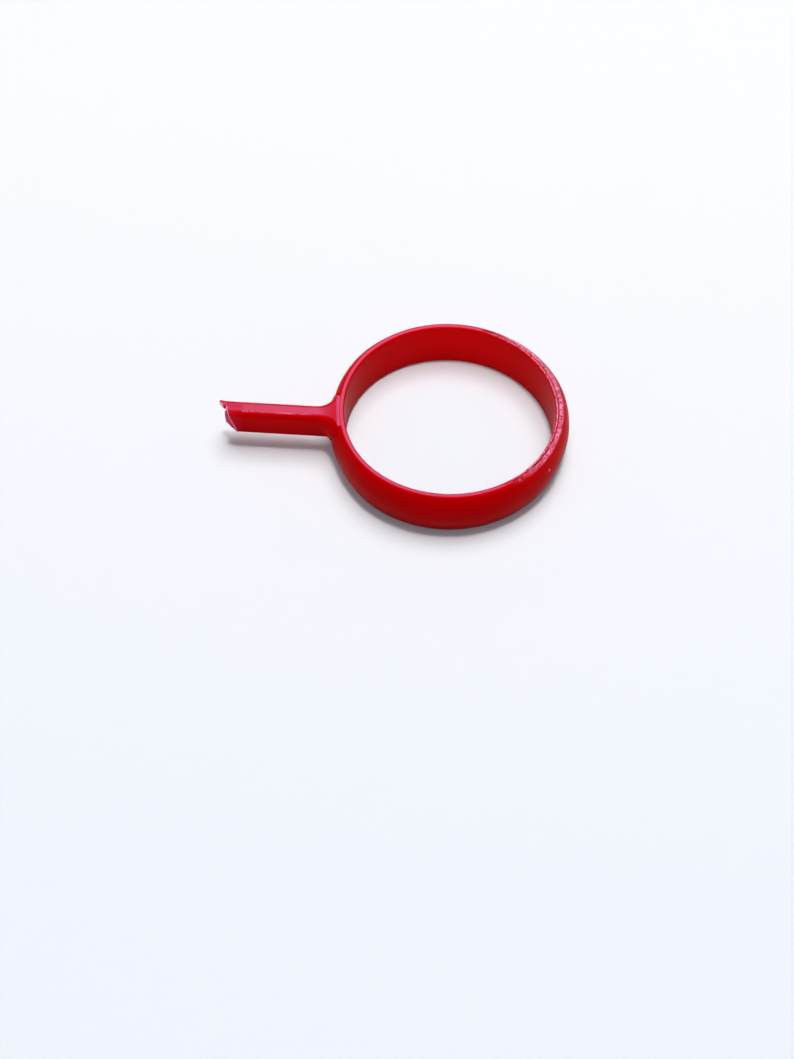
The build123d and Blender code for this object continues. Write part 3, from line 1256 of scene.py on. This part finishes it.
@dataclass
class RimFlash:
    """The ragged burr that the mould left on the bore's upper edge, on the side away from the tail."""

    sizes: Moulding
    span: Stretch = Stretch(-56.0, 74.0, 5.0, 7.0)
    width: float = 0.17
    rise: float = 0.1
    foot_depth: float = 0.04
    steps: int = 520
    torn_from: float = 0.06
    torn_least: float = 0.08
    torn_level: float = 0.55
    torn_long: Waver = Waver(0.6, 0.7, (0.0, 0.0, 1.3))
    torn_short: Waver = Waver(0.45, 0.22, (0.0, 0.0, 5.1))
    sway: Waver = Waver(0.02, 0.4, (0.0, 2.0, 0.0))
    white: float = 0.3
    crest_white: float = 0.35

    def build(self, finishes: Finishes) -> bpy.types.Object:
        """Carries a thin fin round the bore's edge and tears its crest.

        Args:
            finishes: the materials.

        Returns:
            The piece's object.
        """
        s = self.sizes
        bm = bmesh.new()
        foot = s.top - s.bore_top_rounding - self.foot_depth
        outline = ((-0.005, foot), (-0.02, s.top - 0.05),
                   (0.03, s.top + self.rise), (0.08, s.top + self.rise),
                   (self.width, s.top - 0.02), (self.width * 0.8, s.top - 0.1), (0.05, foot))
        start = radians(self.span.first)
        verts = [bm.verts.new(((s.bore_radius + r) * cos(start), (s.bore_radius + r) * sin(start), z))
                 for r, z in outline]
        face = bm.faces.new(verts)
        bmesh.ops.spin(bm, geom=[face], cent=(0, 0, 0), axis=(0, 0, 1), dvec=(0, 0, 0),
                       angle=radians(self.span.last - self.span.first), steps=self.steps, use_merge=False,
                       use_duplicate=False, use_normal_flip=False)
        white = bm.verts.layers.float.new("whitening")
        for vert in bm.verts:
            radius, angle = hypot(vert.co.x, vert.co.y), degrees(atan2(vert.co.y, vert.co.x))
            along = (radians(angle) * s.bore_radius, 0, 0)
            ragged = self.torn_level + self.torn_long.at(along) + self.torn_short.at(along)
            height = max(self.torn_least, ragged) * self.span.at(angle)
            above = vert.co.z - (s.top - self.torn_from)
            if above > 0:
                vert.co.z = s.top - self.torn_from + above * height
            outward = Vector((vert.co.x, vert.co.y, 0)) / radius
            vert.co += outward * self.sway.at(along)
            crest = min(max(above / (self.rise + self.torn_from), 0), 1)
            vert[white] = self.white + self.crest_white * crest
        return finish_piece(bm, "rim_flash_burr", "rim_flash", Slot.TORN, finishes)


# Studio


@dataclass(frozen=True)
class Lamp:
    """A round soft lamp that faces the origin.

    Args:
        name: the lamp's name.
        turn: its direction in plan, in degrees clockwise from +Y.
        rise: its height above the horizon, in degrees.
        size: its diameter, in millimetres.
        power: its power, in watts.
        colour: its sRGB hex colour.
        sheen_only: whether it is seen only as a reflection, and lights nothing.
        distance: its distance, in millimetres.
    """

    name: str
    turn: float
    rise: float
    size: float
    power: float
    colour: str = "#FFFFFF"
    sheen_only: bool = False
    distance: float = 1000.0

    def hang(self) -> None:
        """Adds the lamp to the scene."""
        light = bpy.data.lights.new(self.name, "AREA")
        light.shape, light.size, light.energy = "DISK", self.size * MM, self.power
        light.color = linear(self.colour)[:3]
        holder = bpy.data.objects.new(self.name, light)
        bpy.context.scene.collection.objects.link(holder)
        turn, rise = radians(self.turn), radians(self.rise)
        way = Vector((cos(rise) * sin(turn), cos(rise) * cos(turn), sin(rise)))
        holder.location = way * self.distance * MM
        holder.rotation_euler = way.to_track_quat("Z", "Y").to_euler()
        holder.visible_diffuse = not self.sheen_only


@dataclass
class Studio:
    """The floor, the lights and the camera, which stands where the photograph was taken from."""

    floor_height: float = -2.2
    floor_half: float = 1200.0
    lens: float = 54.39
    sensor_width: float = 36.0
    clip_start: float = 1.0
    camera_turn: float = 4.296
    camera_elevation: float = 54.69
    camera_roll: float = -0.09
    camera_place: Triple = (2.09, -85.54, 105.22)
    world_colour: str = "#F0F4FF"
    world_strength: float = 0.2
    lamps: tuple[Lamp, ...] = (Lamp("overhead_lamp", 90, 87.5, 150, 3.2),
                               Lamp("broad_lamp", 12, 73, 650, 5.8),
                               Lamp("back_lamp", -1.4, 51, 420, 80, "#F2F4FF", sheen_only=True))

    def floor(self) -> None:
        """Lays the pale board."""
        bm = bmesh.new()
        bmesh.ops.create_grid(bm, x_segments=1, y_segments=1, size=self.floor_half * MM)
        bmesh.ops.translate(bm, vec=(0, 0, self.floor_height * MM), verts=bm.verts)
        mesh = bpy.data.meshes.new("floor_board")
        bm.to_mesh(mesh)
        bm.free()
        mesh.materials.append(MatBoard().material())
        board = bpy.data.objects.new("floor_board", mesh)
        bpy.context.scene.collection.objects.link(board)

    def lights(self) -> None:
        """Sets the even room light, which the camera sees as white, and the soft lamps."""
        world = bpy.data.worlds.new("room")
        world.use_nodes = True
        sky = world.node_tree.nodes["Background"]
        sky.inputs["Color"].default_value = linear(self.world_colour)
        seen = add_node(world.node_tree, "ShaderNodeLightPath").outputs["Is Camera Ray"]
        raised = {"operation": "MULTIPLY_ADD", 1: 1 - self.world_strength, 2: self.world_strength}
        strength = add_node(world.node_tree, "ShaderNodeMath", raised, {0: seen}).outputs[0]
        world.node_tree.links.new(strength, sky.inputs["Strength"])
        bpy.context.scene.world = world
        for lamp in self.lamps:
            lamp.hang()

    def camera(self) -> None:
        """Places the camera."""
        data = bpy.data.cameras.new("camera")
        data.lens, data.sensor_width, data.clip_start = self.lens, self.sensor_width, self.clip_start * MM
        camera = bpy.data.objects.new("camera", data)
        bpy.context.scene.collection.objects.link(camera)
        stand = (Matrix.Rotation(radians(self.camera_turn), 4, "Z")
                 @ Matrix.Rotation(radians(90 - self.camera_elevation), 4, "X")
                 @ Matrix.Rotation(radians(self.camera_roll), 4, "Z"))
        stand.translation = Vector(self.camera_place) * MM
        camera.matrix_world = stand
        bpy.context.scene.camera = camera

    def build(self) -> None:
        """Builds the studio."""
        self.floor()
        self.lights()
        self.camera()
        bpy.context.scene.view_settings.view_transform = "Standard"


def main() -> None:
    """Builds the marker piece by piece, then the studio."""
    logging.basicConfig(level=logging.INFO, format="%(name)s: %(message)s")
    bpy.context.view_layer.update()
    sizes, finishes = Moulding(), Finishes()
    RingBand(sizes).build(finishes)
    tail = Tail(sizes)
    tail.build_root(finishes)
    tail.build_bar(finishes)
    TornEnd(sizes).build(finishes)
    RimFlash(sizes).build(finishes)
    Studio().build()


if __name__ == "__main__":
    main()
